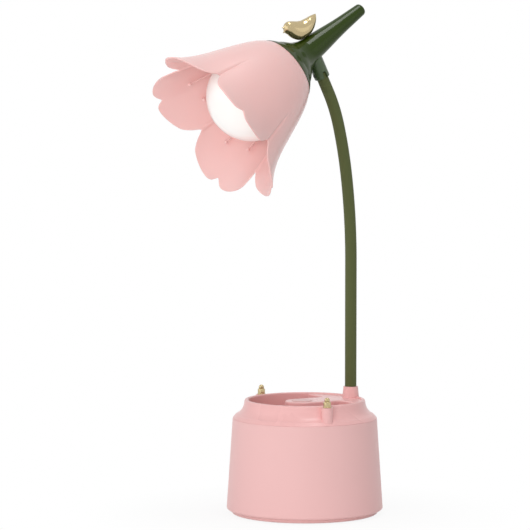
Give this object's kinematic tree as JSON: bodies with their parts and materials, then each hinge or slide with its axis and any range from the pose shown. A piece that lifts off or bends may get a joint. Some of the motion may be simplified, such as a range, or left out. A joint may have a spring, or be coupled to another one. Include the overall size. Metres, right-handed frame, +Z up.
{
  "type": "desk lamp",
  "caption": "Flower-shaped desk lamp: petalled shade and round globe on a bending neck, with a bird on its horn and a round storage base.",
  "frame": {"origin": "centre of the round base, on the surface that the lamp stands on", "axes": "+Z up; the flower leans towards -Y, over the tray, and the neck stands at +Y; X is to the side"},
  "size_m": [0.1261, 0.1739, 0.3751],
  "materials": {
    "foot_rubber": "matte",
    "under_plastic": "matte",
    "pink_shell": "satin",
    "pink_petal": "satin, lets a little light through",
    "green_gloss": "polished",
    "dark_steel": "blackened",
    "olive_sleeve": "matte",
    "pale_gold": "polished pale gold plating",
    "white_globe": "opal, lets light through",
    "stamen_pink": "satin",
    "inner_plastic": "matte",
    "led_white": "satin",
    "led_yellow": "satin",
    "screw_steel": "satin",
    "ballast_iron": "rough",
    "cell_blue": "printed sleeve without print",
    "lead_plastic": "satin",
    "board_green": "satin",
    "plug_plastic": "satin",
    "chip_black": "matte",
    "socket_steel": "satin",
    "button_pink": "satin",
    "lens_white": "translucent"
  },
  "bodies": {
    "base": {"ballast_plate": "ballast_iron", "ballast_screw": "screw_steel", "battery_cell": "cell_blue", "battery_cradle": "inner_plastic", "battery_leads": "lead_plastic", "board_parts": "chip_black", "board_plugs": "plug_plastic", "board_screws": "screw_steel", "body_shell": "pink_shell", "bottom_plate": "under_plastic", "charge_socket": "socket_steel", "indicator_lens": "lens_white", "left_peg": "pale_gold", "main_board": "board_green", "neck_lead": "lead_plastic", "neck_nut": "socket_steel", "neck_root": "olive_sleeve", "plate_screws": "screw_steel", "right_peg": "pale_gold", "rubber_feet": "foot_rubber", "switch_board": "board_green", "switch_board_screws": "screw_steel", "switch_body": "chip_black", "switch_lead": "lead_plastic", "top_cover": "pink_shell"},
    "button": {"power_button": "button_pink", "switch_plunger": "chip_black"},
    "link_1": {"neck_link_1": "olive_sleeve"},
    "link_2": {"neck_link_2": "olive_sleeve"},
    "link_3": {"neck_link_3": "olive_sleeve"},
    "link_4": {"neck_link_4": "olive_sleeve"},
    "link_5": {"neck_link_5": "olive_sleeve"},
    "link_6": {"neck_link_6": "olive_sleeve"},
    "link_7": {"neck_link_7": "olive_sleeve"},
    "link_8": {"neck_link_8": "olive_sleeve"},
    "link_9": {"neck_link_9": "olive_sleeve"},
    "head": {"neck_tip": "olive_sleeve", "neck_collar": "green_gloss", "collar_screw": "dark_steel", "calyx_horn": "green_gloss", "bird": "pale_gold", "flower_shade": "pink_petal", "lamp_holder": "inner_plastic", "shade_screws": "screw_steel", "led_board": "led_white", "led_chips": "led_yellow", "lamp_lead": "lead_plastic", "globe_diffuser": "white_globe", "stamen_ring": "stamen_pink"}
  },
  "joints": [
    {"name": "neck_nod_1", "type": "hinge", "parent": "base", "child": "link_1", "pos_m": [0, 0.0398, 0.1], "axis": [1, 0, 0], "range_deg": [-10, 10]},
    {"name": "neck_sway_1", "type": "hinge", "parent": "link_1", "child": "link_2", "pos_m": [0, 0.0398, 0.12423], "axis": [0, 1, 0], "range_deg": [-10, 10]},
    {"name": "neck_nod_2", "type": "hinge", "parent": "link_2", "child": "link_3", "pos_m": [0, 0.0398, 0.14847], "axis": [1, 0, 0], "range_deg": [-10, 10]},
    {"name": "neck_sway_2", "type": "hinge", "parent": "link_3", "child": "link_4", "pos_m": [0, 0.0398, 0.17271], "axis": [0, 1, 0], "range_deg": [-10, 10]},
    {"name": "neck_nod_3", "type": "hinge", "parent": "link_4", "child": "link_5", "pos_m": [0, 0.03966, 0.19694], "axis": [1, 0, 0], "range_deg": [-10, 10]},
    {"name": "neck_sway_3", "type": "hinge", "parent": "link_5", "child": "link_6", "pos_m": [0, 0.03849, 0.22114], "axis": [0, 0.9974, 0.0723], "range_deg": [-10, 10]},
    {"name": "neck_nod_4", "type": "hinge", "parent": "link_6", "child": "link_7", "pos_m": [0, 0.03615, 0.24526], "axis": [1, 0, 0], "range_deg": [-10, 10]},
    {"name": "neck_sway_4", "type": "hinge", "parent": "link_7", "child": "link_8", "pos_m": [0, 0.03248, 0.26921], "axis": [0, 0.9823, 0.1871], "range_deg": [-10, 10]},
    {"name": "neck_nod_5", "type": "hinge", "parent": "link_8", "child": "link_9", "pos_m": [0, 0.027, 0.29281], "axis": [1, 0, 0], "range_deg": [-10, 10]},
    {"name": "neck_sway_5", "type": "hinge", "parent": "link_9", "child": "head", "pos_m": [0, 0.01782, 0.31521], "axis": [0, 0.8988, 0.4384], "range_deg": [-10, 10]},
    {"name": "power_press", "type": "slide", "parent": "base", "child": "button", "axis": [0, 0, -1], "range_m": [0, 0.0008], "stiffness_N_per_m": 400, "springref_m": -0.0005}
  ],
  "couplings": [
    {"joint": "neck_nod_2", "follows": "neck_nod_1", "ratio": 1},
    {"joint": "neck_sway_2", "follows": "neck_sway_1", "ratio": 1},
    {"joint": "neck_nod_3", "follows": "neck_nod_1", "ratio": 1},
    {"joint": "neck_sway_3", "follows": "neck_sway_1", "ratio": 1},
    {"joint": "neck_nod_4", "follows": "neck_nod_1", "ratio": 1},
    {"joint": "neck_sway_4", "follows": "neck_sway_1", "ratio": 1},
    {"joint": "neck_nod_5", "follows": "neck_nod_1", "ratio": 1},
    {"joint": "neck_sway_5", "follows": "neck_sway_1", "ratio": 1}
  ]
}
